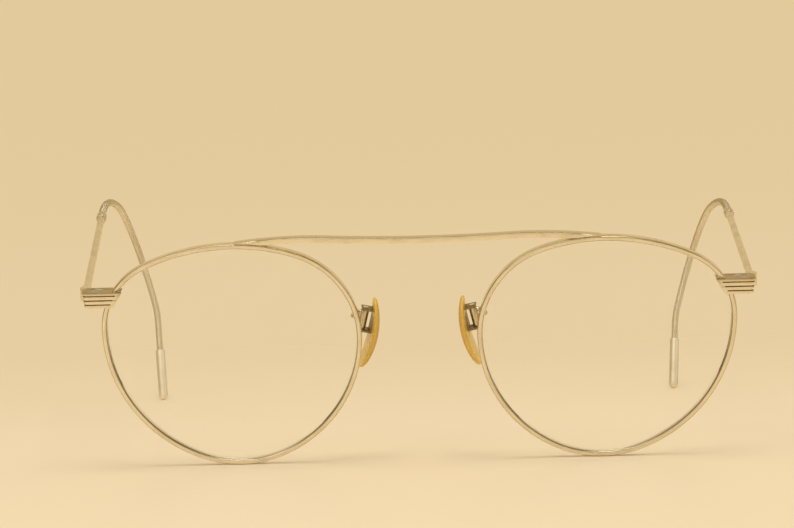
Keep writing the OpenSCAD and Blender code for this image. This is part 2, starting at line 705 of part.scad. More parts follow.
pad_box(-1);  // right_pad_box
pad_pin(1);  // left_pad_pin
pad_pin(-1);  // right_pad_pin
nose_pad(1);  // left_nose_pad
nose_pad(-1);  // right_nose_pad
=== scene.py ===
import json
import math

import bmesh
import bpy
from mathutils import Matrix, Vector


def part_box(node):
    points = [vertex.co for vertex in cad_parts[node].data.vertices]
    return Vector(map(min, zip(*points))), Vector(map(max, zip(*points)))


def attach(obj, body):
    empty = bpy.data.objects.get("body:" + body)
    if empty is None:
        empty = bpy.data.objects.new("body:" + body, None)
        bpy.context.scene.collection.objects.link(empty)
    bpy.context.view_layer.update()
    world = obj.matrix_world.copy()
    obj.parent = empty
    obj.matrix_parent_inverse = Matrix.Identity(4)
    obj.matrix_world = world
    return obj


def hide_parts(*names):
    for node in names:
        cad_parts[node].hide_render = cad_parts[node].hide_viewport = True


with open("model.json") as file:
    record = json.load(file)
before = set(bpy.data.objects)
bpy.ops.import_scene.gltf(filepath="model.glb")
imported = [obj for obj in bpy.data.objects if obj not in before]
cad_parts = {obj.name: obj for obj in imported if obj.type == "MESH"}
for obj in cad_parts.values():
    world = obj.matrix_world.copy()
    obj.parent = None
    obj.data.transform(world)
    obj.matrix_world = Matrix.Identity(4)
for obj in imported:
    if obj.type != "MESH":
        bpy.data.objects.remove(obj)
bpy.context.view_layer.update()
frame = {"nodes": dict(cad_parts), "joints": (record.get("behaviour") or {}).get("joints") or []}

cad = frame["nodes"]
joints = {joint["name"]: joint for joint in frame["joints"]}
sideNames = {1: "left", -1: "right"}  # the wearer's left is at +X
print("frame loaded:", len(cad), "nodes")

# The front is modelled upright in millimetres: u across, n back and v up from the eye centres,
# for the side at +X. One matrix per side then leans it and puts it in the world.
front = {"eyeU": 33.5, "screwU": joints["left_hinge"]["pos_m"][0] * 1000, "screwBack": 0.25,
         "endpieceV": 11.2}


def frontMatrix():
    hinge = joints["left_hinge"]
    axis = Vector(hinge["axis"])
    lean = Matrix.Rotation(math.atan2(-axis.y, axis.z), 4, "X")
    screw = Vector((front["screwU"], front["screwBack"], front["endpieceV"])) / 1000
    return Matrix.Translation(Vector(hinge["pos_m"]) - lean @ screw) @ lean @ Matrix.Scale(0.001, 4)


toWorld = {1: frontMatrix(), -1: frontMatrix() @ Matrix.Scale(-1, 4, (1, 0, 0))}


# A path frame is a matrix: X away from the head, Y along the wire, Z up.
def goOn(f, length):
    return f @ Matrix.Translation((0, length, 0))


def rollOver(f, angle):
    return f @ Matrix.Rotation(math.radians(angle), 4, "Y")


def bendDown(f, radius, angle):
    turn = Matrix.Rotation(math.radians(-angle), 4, "X")
    return f @ Matrix.Translation((0, 0, -radius)) @ turn @ Matrix.Translation((0, 0, radius))


def pathFrame(place, outward, along, up):
    f = Matrix((outward, along, up)).transposed().to_4x4()
    f.translation = place
    return f


def ringEdges(verts):
    return list({e for v in verts for e in v.link_edges})


def drawWire(bm, f, radius, moves, sides=20):
    # Sweeps a round section along a frame and returns the frame at its end
    disc = f @ Matrix.Rotation(math.pi / 2, 4, "X")
    ring = bmesh.ops.create_circle(bm, cap_ends=True, radius=radius, segments=sides, matrix=disc)
    edges = ringEdges(ring["verts"])
    for kind, amount, size in moves:
        if kind == "roll":
            f = rollOver(f, amount)
        elif kind == "go":
            made = bmesh.ops.extrude_edge_only(bm, edges=edges)["geom"]
            ends = [g for g in made if isinstance(g, bmesh.types.BMVert)]
            bmesh.ops.translate(bm, vec=f.to_3x3() @ Vector((0, amount, 0)), verts=ends)
            edges = [g for g in made if isinstance(g, bmesh.types.BMEdge) and g.is_boundary]
            f = goOn(f, amount)
        else:
            ends = list({v for e in edges for v in e.verts})
            made = bmesh.ops.spin(bm, geom=ends + edges, cent=f @ Vector((0, 0, -size)),
                                  axis=-f.col[0].to_3d(), angle=math.radians(amount),
                                  steps=max(4, round(amount / 3)), use_duplicate=False)
            edges = [g for g in made["geom_last"] if isinstance(g, bmesh.types.BMEdge)]
            f = bendDown(f, size, amount)
    bmesh.ops.holes_fill(bm, edges=edges, sides=0)
    return f


def latheOn(bm, f, outline, steps=32):
    # Turns an outline of (radius, distance along) once round the frame's own line
    verts = [bm.verts.new(f @ Vector((r, y, 0))) for r, y in outline]
    edges = [bm.edges.new(pair) for pair in zip(verts, verts[1:])]
    bmesh.ops.spin(bm, geom=verts + edges, cent=f.to_translation(), axis=f.col[1].to_3d(),
                   angle=2 * math.pi, steps=steps, use_merge=True, use_duplicate=False)


def roundEnd(radius, at, soft, sense, steps=5):
    # A rounded corner for a lathe outline, at the wire's start (-1) or end (1)
    turns = [math.pi / 2 * i / steps for i in range(steps + 1)]
    points = [(radius - soft + soft * math.cos(a), at - sense * (soft - soft * math.sin(a)))
              for a in turns]
    return points if sense > 0 else points[::-1]


def softenEdges(bm, width, sharper=40, segments=2):
    edges = [e for e in bm.edges if e.is_manifold and e.calc_face_angle() > math.radians(sharper)]
    bmesh.ops.bevel(bm, geom=edges, affect="EDGES", offset=width, segments=segments, profile=0.5,
                    clamp_overlap=True, material=-1)


def cadCopy(node, side):
    # A merged copy of a small machined part, in the front's millimetres
    bm = bmesh.new()
    bm.from_mesh(cad[node].data)
    bmesh.ops.transform(bm, matrix=toWorld[side].inverted(), verts=bm.verts)
    bmesh.ops.remove_doubles(bm, verts=bm.verts, dist=0.0006)
    bmesh.ops.dissolve_limit(bm, angle_limit=math.radians(1), verts=bm.verts, edges=bm.edges)
    return bm


def markTarnishAndShade(bm, amountAt):
    # How dark each point is, from 0 to 1: tarnish, and on some pieces painted shade
    layer = bm.verts.layers.float.new("tarnishAndShade")
    for v in bm.verts:
        v[layer] = amountAt(v.co)


def finishPiece(bm, name, side, body, nodes, material, sharper=35):
    bmesh.ops.remove_doubles(bm, verts=bm.verts, dist=0.0006)
    bmesh.ops.transform(bm, matrix=toWorld[side], verts=bm.verts)
    bmesh.ops.recalc_face_normals(bm, faces=bm.faces)
    mesh = bpy.data.meshes.new(name)
    bm.to_mesh(mesh)
    bm.free()
    mesh.shade_smooth()
    mesh.set_sharp_from_angle(angle=math.radians(sharper))
    mesh.materials.append(material)
    piece = bpy.data.objects.new(name, mesh)
    bpy.context.scene.collection.objects.link(piece)
    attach(piece, body)
    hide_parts(*nodes)
    return piece


def addNode(tree, kind, inputs=None, **settings):
    node = tree.nodes.new(kind)
    for key, value in settings.items():
        setattr(node, key, value)
    for key, value in (inputs or {}).items():
        node.inputs[key].default_value = value
    return node


def newMaterial(name):
    material = bpy.data.materials.new(name)
    material.use_nodes = True
    tree = material.node_tree
    return material, tree, tree.nodes["Principled BSDF"]


def feed(tree, socket, value):
    # A value is either another node's output or a plain number or colour
    if isinstance(value, bpy.types.NodeSocket):
        tree.links.new(value, socket)
    else:
        socket.default_value = value


def mixColors(tree, mask, first, second):
    node = addNode(tree, "ShaderNodeMix", data_type="RGBA")
    for index, value in ((0, mask), (6, first), (7, second)):
        feed(tree, node.inputs[index], value)
    return node.outputs[2]


def mathNode(tree, operation, first, second):
    node = addNode(tree, "ShaderNodeMath", operation=operation)
    feed(tree, node.inputs[0], first)
    feed(tree, node.inputs[1], second)
    return node.outputs[0]


def noiseAt(tree, scale, detail=4, stretch=(1, 1, 1)):
    where = addNode(tree, "ShaderNodeTexCoord")
    mapping = addNode(tree, "ShaderNodeMapping", {"Scale": stretch})
    tree.links.new(where.outputs["Object"], mapping.inputs["Vector"])
    noise = addNode(tree, "ShaderNodeTexNoise", {"Detail": detail})
    tree.links.new(mapping.outputs[0], noise.inputs["Vector"])
    feed(tree, noise.inputs["Scale"], scale)
    return noise.outputs[0]


def between(tree, value, low, high, toLow=0.0, toHigh=1.0):
    node = addNode(tree, "ShaderNodeMapRange", {"From Min": low, "From Max": high})
    tree.links.new(value, node.inputs["Value"])
    feed(tree, node.inputs["To Min"], toLow)
    feed(tree, node.inputs["To Max"], toHigh)
    return node.outputs[0]


def agedAndShadedMetalGroup():
    # Old plated metal: darker spots, the tarnish and painted shade marked on the mesh, fine pits
    # and rub marks
    group = bpy.data.node_groups.new("agedAndShadedMetal", "ShaderNodeTree")
    for name, kind, value in (("Metal", "NodeSocketColor", (0.8, 0.78, 0.72, 1)),
                              ("TarnishAndShade", "NodeSocketColor", (0.1, 0.08, 0.05, 1)),
                              ("Spots", "NodeSocketFloat", 0.4), ("Scale", "NodeSocketFloat", 300),
                              ("Polished", "NodeSocketFloat", 0.15),
                              ("Dull", "NodeSocketFloat", 0.45)):
        socket = group.interface.new_socket(name=name, in_out="INPUT", socket_type=kind)
        socket.default_value = value
    for name, kind in (("Color", "NodeSocketColor"), ("Roughness", "NodeSocketFloat"),
                       ("Height", "NodeSocketFloat")):
        group.interface.new_socket(name=name, in_out="OUTPUT", socket_type=kind)
    given = group.nodes.new("NodeGroupInput")
    made = group.nodes.new("NodeGroupOutput")
    marked = addNode(group, "ShaderNodeAttribute", attribute_name="tarnishAndShade")
    cloudy = between(group, noiseAt(group, given.outputs["Scale"], 5), 0.5, 0.72)
    spots = mathNode(group, "MULTIPLY", cloudy, given.outputs["Spots"])
    mask = mathNode(group, "MAXIMUM", spots, marked.outputs["Fac"])
    tone = between(group, noiseAt(group, given.outputs["Scale"], 2), 0.35, 0.65, 0.0, 0.16)
    rubbed = noiseAt(group, 9000, 3, (1, 0.15, 1))
    color = mixColors(group, mathNode(group, "MAXIMUM", mask, tone),
                      given.outputs["Metal"], given.outputs["TarnishAndShade"])
    rough = between(group, mask, 0, 1, given.outputs["Polished"], given.outputs["Dull"])
    rough = mathNode(group, "ADD", rough, between(group, rubbed, 0.3, 0.7, -0.03, 0.05))
    pits = noiseAt(group, 2600, 5)
    height = mathNode(group, "ADD", mathNode(group, "MULTIPLY", pits, 0.6), rubbed)
    group.links.new(color, made.inputs["Color"])
    group.links.new(rough, made.inputs["Roughness"])
    group.links.new(height, made.inputs["Height"])
    return group


agedAndShadedMetal = agedAndShadedMetalGroup()


def metalMaterial(name, metal, tarnishAndShade, spots, scale, polished, dull, bump):
    material, tree, shader = newMaterial(name)
    shader.inputs["Metallic"].default_value = 1
    values = {"Metal": (*metal, 1), "TarnishAndShade": (*tarnishAndShade, 1), "Spots": spots, "Scale": scale,
              "Polished": polished, "Dull": dull}
    wear = addNode(tree, "ShaderNodeGroup", node_tree=agedAndShadedMetal)
    for key, value in values.items():
        wear.inputs[key].default_value = value
    relief = addNode(tree, "ShaderNodeBump", {"Strength": bump, "Distance": 0.00004})
    tree.links.new(wear.outputs["Color"], shader.inputs["Base Color"])
    tree.links.new(wear.outputs["Roughness"], shader.inputs["Roughness"])
    tree.links.new(wear.outputs["Height"], relief.inputs["Height"])
    tree.links.new(relief.outputs[0], shader.inputs["Normal"])
    return material


def amberMaterial():
    look = {"brown": (0.48, 0.245, 0.03), "amber": (0.72, 0.45, 0.07), "yellow": (0.85, 0.59, 0.11)}
    material, tree, shader = newMaterial("amberCelluloid")
    where = addNode(tree, "ShaderNodeTexCoord")
    parts = addNode(tree, "ShaderNodeSeparateXYZ")
    tree.links.new(where.outputs["Object"], parts.inputs[0])
    low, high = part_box("left_nose_pad")
    fade = between(tree, parts.outputs["Z"], low.z, high.z, 0.75, 0.0)
    swirl = between(tree, noiseAt(tree, 220, 3, (1, 1, 0.4)), 0.35, 0.65, -0.25, 0.25)
    body = mixColors(tree, mathNode(tree, "ADD", fade, swirl), (*look["amber"], 1),
                     (*look["yellow"], 1))
    edge = addNode(tree, "ShaderNodeAttribute", attribute_name="nosewardEdge")
    tree.links.new(mixColors(tree, edge.outputs["Fac"], body, (*look["brown"], 1)),
                   shader.inputs["Base Color"])
    rough = between(tree, noiseAt(tree, 900, 4), 0.3, 0.7, 0.12, 0.3)
    tree.links.new(rough, shader.inputs["Roughness"])
    shader.inputs["Transmission Weight"].default_value = 0.1
    shader.inputs["Subsurface Weight"].default_value = 0.25
    shader.inputs["Subsurface Radius"].default_value = (0.002, 0.001, 0.0004)
    shader.inputs["Subsurface Scale"].default_value = 1
    shader.inputs["IOR"].default_value = 1.5
    relief = addNode(tree, "ShaderNodeBump", {"Strength": 0.15, "Distance": 0.0001})
    tree.links.new(noiseAt(tree, 1500, 3), relief.inputs["Height"])
    tree.links.new(relief.outputs[0], shader.inputs["Normal"])
    return material


def lensMaterial():
    # Clear glass with a little smear. Light passes to the table through it.
    material, tree, shader = newMaterial("lensGlass")
    shader.inputs["Base Color"].default_value = (0.99, 0.995, 0.985, 1)
    shader.inputs["Transmission Weight"].default_value = 1
    shader.inputs["IOR"].default_value = 1.5
    smear = between(tree, noiseAt(tree, 60, 5, (1, 1, 2.5)), 0.5, 0.75, 0.0, 0.035)
    tree.links.new(smear, shader.inputs["Roughness"])
    rays = addNode(tree, "ShaderNodeLightPath")
    through = addNode(tree, "ShaderNodeBsdfTransparent")
    mix = addNode(tree, "ShaderNodeMixShader")
    soft = mathNode(tree, "MAXIMUM", rays.outputs["Is Shadow Ray"], rays.outputs["Is Diffuse Ray"])
    tree.links.new(soft, mix.inputs[0])
    tree.links.new(shader.outputs[0], mix.inputs[1])
    tree.links.new(through.outputs[0], mix.inputs[2])
    tree.links.new(mix.outputs[0], tree.nodes["Material Output"].inputs["Surface"])
    return material


frameMetal = metalMaterial("whiteGoldFilled", metal=(0.86, 0.8, 0.61), tarnishAndShade=(0.27, 0.15, 0.008),
                           spots=0.22, scale=260, polished=0.24, dull=0.45, bump=0.15)
rubbedMetal = metalMaterial("rubbedGoldFilled", metal=(0.87, 0.805, 0.62), tarnishAndShade=(0.3, 0.2, 0.08),
                            spots=0.2, scale=260, polished=0.42, dull=0.5, bump=0.15)
tipMetal = metalMaterial("satinTip", metal=(0.97, 0.92, 0.76), tarnishAndShade=(0.45, 0.34, 0.18),
                         spots=0.15, scale=260, polished=0.58, dull=0.62, bump=0.1)
cableMetal = metalMaterial("woundCable", metal=(0.9, 0.83, 0.64), tarnishAndShade=(0.38, 0.28, 0.14),
                           spots=0.2, scale=180, polished=0.48, dull=0.55, bump=0.15)
screwSteel = metalMaterial("screwSteel", metal=(0.72, 0.7, 0.65), tarnishAndShade=(0.06, 0.05, 0.04),
                           spots=0.5, scale=600, polished=0.25, dull=0.5, bump=0.4)
boxMetal = metalMaterial("tarnishedBox", metal=(0.52, 0.42, 0.24), tarnishAndShade=(0.05, 0.03, 0.01),
                         spots=0.8, scale=700, polished=0.25, dull=0.55, bump=0.5)
amber = amberMaterial()
glass = lensMaterial()
print("materials ready")

eye = {"width": 45.5, "height": 40.7, "sideRise": 5.3, "noseRise": 3, "topShift": 0.6,
       "bottomShift": 0.9, "knee": 65, "noseKnee": 71}
wire = {"thick": 0.9, "deep": 1.9, "grooveHalf": 0.55, "grooveDeep": 0.4, "corner": 0.26,
        "innerShade": 0.85, "edgeShade": 0.4}


def quarterArcs(side, rise, across, tall, knee, start, sense):
    c, s = math.cos(math.radians(knee)), math.sin(math.radians(knee))
    det = (1 - c) * (1 - s) - c * s
    wide, high = (across * (1 - s) - tall * c) / det, (tall * (1 - c) - across * s) / det
    turn, last = start + sense * knee, start + sense * 90
    toward = Vector((math.cos(math.radians(turn)), math.sin(math.radians(turn))))
    first = Vector((front["eyeU"] + side * (eye["width"] / 2 - wide), rise))
    return [(first, wide, *sorted((start, turn))),
            (first + (wide - high) * toward, high, *sorted((turn, last)))]


def eyeArcs():
    # Eight tangent arcs as (centre, radius, start, end), once round from the widest point
    half, tall = eye["width"] / 2, eye["height"] / 2
    sideTop = quarterArcs(1, eye["sideRise"], half + eye["topShift"], tall - eye["sideRise"],
                          eye["knee"], 0, 1)
    noseTop = quarterArcs(-1, eye["noseRise"], half - eye["topShift"], tall - eye["noseRise"],
                          eye["noseKnee"], 180, -1)
    noseLow = quarterArcs(-1, eye["noseRise"], half - eye["bottomShift"], tall + eye["noseRise"],
                          eye["knee"], 180, 1)
    sideLow = quarterArcs(1, eye["sideRise"], half + eye["bottomShift"], tall + eye["sideRise"],
                          eye["knee"], 360, -1)
    return [sideTop[0], sideTop[1], noseTop[1], noseTop[0],
            noseLow[0], noseLow[1], sideLow[1], sideLow[0]]


rimArcs = eyeArcs()


def roundTheEye(bm, section, perStep, closed=True):
    # Carries a section of (off the centre line, depth) once round the eye
    centre, radius, start, end = rimArcs[0]
    a = math.radians(start)
    verts = [bm.verts.new((centre.x + (radius + off) * math.cos(a), n,
                           centre.y + (radius + off) * math.sin(a))) for off, n in section]
    pairs = list(zip(verts, verts[1:] + verts[:1])) if closed else []
    geom = verts + [bm.edges.new(pair) for pair in pairs]
    for centre, radius, start, end in rimArcs:
        steps = max(3, round((end - start) / perStep))
        geom = bmesh.ops.spin(bm, geom=geom, cent=(centre.x, 0, centre.y), axis=(0, -1, 0),
                              angle=math.radians(end - start), steps=steps,
                              use_duplicate=False)["geom_last"]
    bmesh.ops.remove_doubles(bm, verts=bm.verts, dist=0.0006)


def offTheRim(p):
    # How far outside the rim's centre line a point lies
    for centre, radius, start, end in rimArcs:
        turn = math.degrees(math.atan2(p.z - centre.y, p.x - centre.x)) % 360
        if start <= turn <= end:
            return math.hypot(p.z - centre.y, p.x - centre.x) - radius
    return 0


def buildEyewire(side):
    bm = bmesh.new()
    t, d = wire["thick"] / 2, wire["deep"] / 2
    roundTheEye(bm, [(-t, -d), (t, -d), (t, d), (-t, d), (-t, wire["grooveHalf"]),
                     (wire["grooveDeep"] - t, 0), (-t, -wire["grooveHalf"])], 1)
    softenEdges(bm, wire["corner"], 80, 3)

    def paintedShadeAt(p):
        # Painted shade inside the rim and along its edges, faded out near the bottom as a painted
        # highlight where the rim catches the overhead light
        off, edge = offTheRim(p), wire["corner"] * 0.6
        shadeAboveBottom = min(1, max(0, (p.z + eye["height"] / 2) / 3 - 0.2))
        if off < 0.05 - t:
            return wire["innerShade"] * shadeAboveBottom
        onEdge = d - abs(p.y) < edge and t - abs(off) < edge
        return wire["edgeShade"] * shadeAboveBottom if onEdge else 0.0

    markTarnishAndShade(bm, paintedShadeAt)
    name = sideNames[side]
    finishPiece(bm, name + "Eyewire", side, "front", [name + "_eyewire"], frameMetal)


lens = {"thick": 1.1, "dome": 230, "gap": 0.08, "rings": (0.96, 0.88, 0.75, 0.6, 0.42, 0.22, 0.08)}


def buildLens(side):
    bm = bmesh.new()
    edge = -wire["thick"] / 2 - lens["gap"]
    into = edge + wire["grooveDeep"] - lens["gap"]
    rest = lens["dome"] - math.sqrt(lens["dome"] ** 2 - (eye["width"] / 2) ** 2)
    middle = lens["thick"] / 2 + rest - lens["dome"]

    def surface(p, radius):
        out = (p.x - front["eyeU"]) ** 2 + p.z ** 2
        return -(middle + math.sqrt(radius ** 2 - out))

    loops = []
    for off in (edge, into, edge):
        before = set(bm.edges)
        roundTheEye(bm, [(off, len(loops) - 1.0)], 3, False)
        loops.append([e for e in bm.edges if e not in before])
    loopVerts = [list({v for e in loop for v in e.verts}) for loop in loops]
    for first, second in ((0, 1), (1, 2)):
        bmesh.ops.bridge_loops(bm, edges=loops[first] + loops[second])
    centre = Matrix.Translation((-front["eyeU"], 0, 0))
    for loop, verts, radius in ((loops[0], loopVerts[0], lens["dome"]),
                                (loops[2], loopVerts[2], lens["dome"] - lens["thick"])):
        edges, shrunk = loop, 1.0
        faced = list(verts)
        for ring in lens["rings"]:
            made = bmesh.ops.extrude_edge_only(bm, edges=edges)["geom"]
            fresh = [g for g in made if isinstance(g, bmesh.types.BMVert)]
            edges = [g for g in made if isinstance(g, bmesh.types.BMEdge) and g.is_boundary]
            bmesh.ops.scale(bm, vec=(ring / shrunk, 1, ring / shrunk), verts=fresh, space=centre)
            shrunk = ring
            faced += fresh
        bmesh.ops.holes_fill(bm, edges=edges, sides=0)
        for v in faced:
            v.co.y = surface(v.co, radius)
    for v in loopVerts[1]:
        v.co.y = 0
    name = sideNames[side]
    finishPiece(bm, name + "Lens", side, "front", [name + "_lens"], glass, 30)


for side in (1, -1):
    buildEyewire(side)
    buildLens(side)
print("rims and lenses built")

bar = {"high": 1.0, "deep": 1.8, "lift": 0.95, "dip": 0.5, "shoulderBack": 13,
       "tongueLift": 0.12, "tongueBack": 0.4, "onRimFrom": 20, "pieces": 180, "softPercent": 14,
       "topShade": 0.2, "grime": 0.03}


def barProfile():
    # The brow bar's highest line across the front, a dip between two shoulders
    top = (eye["height"] + wire["thick"]) / 2 + bar["lift"]
    shoulder = front["eyeU"] - bar["shoulderBack"]
    half = front["eyeU"] - eye["topShift"] - bar["tongueBack"]
    run, fall = half - shoulder, bar["lift"] - bar["tongueLift"]
    outerR = (run ** 2 + fall ** 2) / (2 * fall)
    dipR = (shoulder ** 2 + bar["dip"] ** 2) / (2 * bar["dip"]) - outerR
    turnsAt = dipR * shoulder / (dipR + outerR)

    def heightAt(u):
        u = abs(u)
        if u < turnsAt:
            return top - bar["dip"] + dipR - math.sqrt(dipR ** 2 - u ** 2)
        return top - outerR + math.sqrt(outerR ** 2 - (u - shoulder) ** 2)

    return half, heightAt


def buildBrowBar():
    bm = bmesh.new()
    half, heightAt = barProfile()
    centre, radius = rimArcs[2][0], rimArcs[2][1] + wire["thick"] / 2
    stand = Matrix.Rotation(math.pi / 2, 4, "X")
    bmesh.ops.create_grid(bm, x_segments=bar["pieces"], y_segments=1, size=1, matrix=stand)
    for v in bm.verts:
        u = v.co.x * half
        top = heightAt(u)
        rim = centre.y + math.sqrt(max(0, radius ** 2 - (abs(u) - centre.x) ** 2))
        under = max(top - bar["high"], rim if abs(u) > bar["onRimFrom"] else 0)
        v.co = Vector((u, -bar["deep"] / 2, top if v.co.z > 0 else under))
    made = bmesh.ops.extrude_face_region(bm, geom=list(bm.faces))["geom"]
    bmesh.ops.translate(bm, vec=(0, bar["deep"], 0),
                        verts=[g for g in made if isinstance(g, bmesh.types.BMVert)])
    bmesh.ops.recalc_face_normals(bm, faces=bm.faces)
    edges = [e for e in bm.edges if e.is_manifold and e.calc_face_angle() > math.radians(60)
             and abs(e.verts[0].co.x - e.verts[1].co.x) > 0.1]
    bmesh.ops.bevel(bm, geom=edges, affect="EDGES", offset=bar["softPercent"],
                    offset_type="PERCENT", segments=3, profile=0.5, material=-1)

    def paintedShadeAt(p):
        # Painted shade on the flat top; a faint even tone elsewhere
        return bar["topShade"] if heightAt(p.x) - p.z < 0.06 else bar["grime"]

    markTarnishAndShade(bm, paintedShadeAt)
    finishPiece(bm, "browBar", 1, "front", ["brow_bar"], frameMetal)


buildBrowBar()
print("brow bar built")

endpiece = {"height": 2.7, "deep": 3.5, "out": 2.75, "corner": 1.1, "grooves": (0.82, 0, -0.78),
            "grooveHigh": 0.22, "grooveFrom": 0.12, "soft": 0.07, "grooveShade": 1.0,
            "topShade": 0.55, "grime": 0.1}


def buildEndpieces(side):
    name = sideNames[side]
    middle = front["endpieceV"]

    def inside(p):
        # How far in from the block's outer faces a point lies
        x = p.x - front["screwU"] - endpiece["out"]
        y = abs(p.y) - endpiece["deep"] / 2
        r = endpiece["corner"]
        return r - math.hypot(x + r, y + r) if min(x, y) > -r else -max(x, y)

    def paintedShadeAt(p):
        # Painted shade: darkest in the grooves and darker on the top face; a faint even tone
        # elsewhere
        inGroove = any(abs(p.z - middle - g) < endpiece["grooveHigh"] / 2 + 0.03
                       for g in endpiece["grooves"])
        if inGroove and inside(p) > endpiece["grooveFrom"]:
            return endpiece["grooveShade"]
        onTop = p.z - middle > endpiece["height"] / 2 - 0.03
        return endpiece["topShade"] if onTop else endpiece["grime"]

    for half in ("upper", "lower"):
        node = f"{name}_endpiece_{half}"
        bm = cadCopy(node, side)
        softenEdges(bm, endpiece["soft"], 40, 2)
        markTarnishAndShade(bm, paintedShadeAt)
        finishPiece(bm, f"{name}Endpiece{half.title()}", side, "front", [node],
                    frameMetal)
    bm = cadCopy(name + "_hinge_screw", side)
    softenEdges(bm, 0.06, 40, 2)
    top = middle + endpiece["height"] / 2
    # Painted shade on the screw below the endpiece's top, where it sits in the block; the head
    # stays light
    markTarnishAndShade(bm, lambda p: 0.9 if p.z < top - 0.1 else 0.1)
    finishPiece(bm, name + "HingeScrew", side, "front", [name + "_hinge_screw"],
                screwSteel)
    bm = cadCopy(name + "_temple_knuckle", side)
    softenEdges(bm, 0.12, 40, 3)
    finishPiece(bm, name + "TempleKnuckle", side, name + "_temple", [name + "_temple_knuckle"],
                frameMetal)


for side in (1, -1):
    buildEndpieces(side)
print("endpieces and hinges built")

temple = {"out": 2.4, "barrelBack": 2.654, "splay": 3, "run": 63, "wireR": 0.65,
          "socket": 3.6, "seat": 2.4, "cableLead": 3, "longR": 88, "longTurn": 21.5,
          "hookR": 19.5, "hookTurn": 89, "hookTilt": 14.7, "tailTurn": 12.5, "tailRoll": 59,
          "tipR": 1.0, "tipLen": 10, "tipSeat": 3, "tipGrime": 0.05, "tilt": {1: 4.9, -1: 3}}
cable = {"outer": 0.74, "strand": 0.16, "pitch": 0.31, "stepsPerTurn": 14, "sides": 7,
         "betweenShade": 0.4, "grime": 0.1}
ferrule = {"length": 3.4, "outer": 0.97, "grime": 0.3}


def templeStart(side):
    tilt, splay = math.radians(temple["tilt"][side]), math.radians(temple["splay"])
    place = (front["screwU"] + temple["out"], temple["barrelBack"], front["endpieceV"])
    outward = Vector((math.cos(splay), -math.sin(splay), 0))
    along = Vector((math.sin(splay) * math.cos(tilt), math.cos(splay) * math.cos(tilt),
                    -math.sin(tilt)))
    return pathFrame(place, outward, along, outward.cross(along))


def cableStart(side):
    return goOn(templeStart(side), temple["run"] - temple["cableLead"])


def earBends():
    return [("go", temple["cableLead"], 0), ("roll", temple["hookTilt"], 0),
            ("bend", temple["longTurn"], temple["longR"]),
            ("bend", temple["hookTurn"], temple["hookR"]), ("roll", -temple["tailRoll"], 0),
            ("bend", temple["tailTurn"], temple["hookR"])]


def tipStart(side):
    # The last straight stretch ends where the tip's round end touches the table
    f = cableStart(side)
    for kind, amount, size in earBends():
        f = (goOn(f, amount) if kind == "go" else rollOver(f, amount) if kind == "roll"
             else bendDown(f, size, amount))
    inWorld = toWorld[1] @ f
    high = inWorld.translation.z * 1000 - temple["tipR"]
    straight = high / -(inWorld.col[1].z * 1000) - temple["tipLen"]
    return goOn(f, straight), straight


def cableMoves(side):
    return earBends() + [("go", tipStart(side)[1] + temple["tipSeat"], 0)]


def moveLength(kind, amount, size):
    return {"go": amount, "roll": 0, "bend": math.radians(amount) * size}[kind]


def alongCable(f, moves, distance):
    # The frame at a distance along the cable, with the rolls taken back out of it
    rolled = 0
    for kind, amount, size in moves:
        length = moveLength(kind, amount, size)
        last = kind != "roll" and (distance <= length or (kind, amount, size) == moves[-1])
        part = distance if last else length
        if kind == "roll":
            f, rolled = rollOver(f, amount), rolled + amount
        elif kind == "go":
            f = goOn(f, part)
        else:
            f = bendDown(f, size, math.degrees(part / size))
        if last:
            return rollOver(f, -rolled)
        distance -= length
    return f


def buildCable(side):
    # One fine wire wound round the core: a real helix, then laid along the temple's bends
    bm = bmesh.new()
    name = sideNames[side]
    start = cableStart(side)
    moves = cableMoves(side)
    total = sum(moveLength(*move) for move in moves)
    turns = int((total - 2 * cable["strand"]) / cable["pitch"])
    off = Matrix.Translation((cable["outer"] - cable["strand"], cable["strand"], 0))
    strand = bmesh.ops.create_circle(bm, cap_ends=False, radius=cable["strand"],
                                     segments=cable["sides"], matrix=off)["verts"]
    steps = cable["stepsPerTurn"]
    bmesh.ops.spin(bm, geom=strand + ringEdges(strand), cent=(0, 0, 0), axis=(0, 1, 0),
                   dvec=(0, cable["pitch"] / steps, 0), angle=2 * math.pi, steps=steps,
                   use_duplicate=False)
    facesPerTurn, done = len(bm.faces), 1
    while done < turns:  # the turns so far are copied on behind themselves
        more = min(done, turns - done)
        bm.faces.ensure_lookup_table()
        made = bmesh.ops.duplicate(bm, geom=bm.faces[:more * facesPerTurn])["geom"]
        bmesh.ops.translate(bm, vec=(0, cable["pitch"] * done, 0),
                            verts=[g for g in made if isinstance(g, bmesh.types.BMVert)])
        done += more
    bmesh.ops.remove_doubles(bm, verts=bm.verts, dist=0.001)
    bmesh.ops.holes_fill(bm, edges=[e for e in bm.edges if e.is_boundary], sides=0)
    inner = cable["outer"] - 0.12
    # Painted shade in the hollows between the windings; a faint even tone on their tops
    markTarnishAndShade(bm, lambda p: cable["betweenShade"] if math.hypot(p.x, p.z) < inner
                else cable["grime"])
    for v in bm.verts:
        f = alongCable(start, moves, v.co.y)
        v.co = f @ Vector((v.co.x, 0, v.co.z))
    finishPiece(bm, name + "Cable", side, name + "_temple", [name + "_cable"],
                cableMetal, 60)


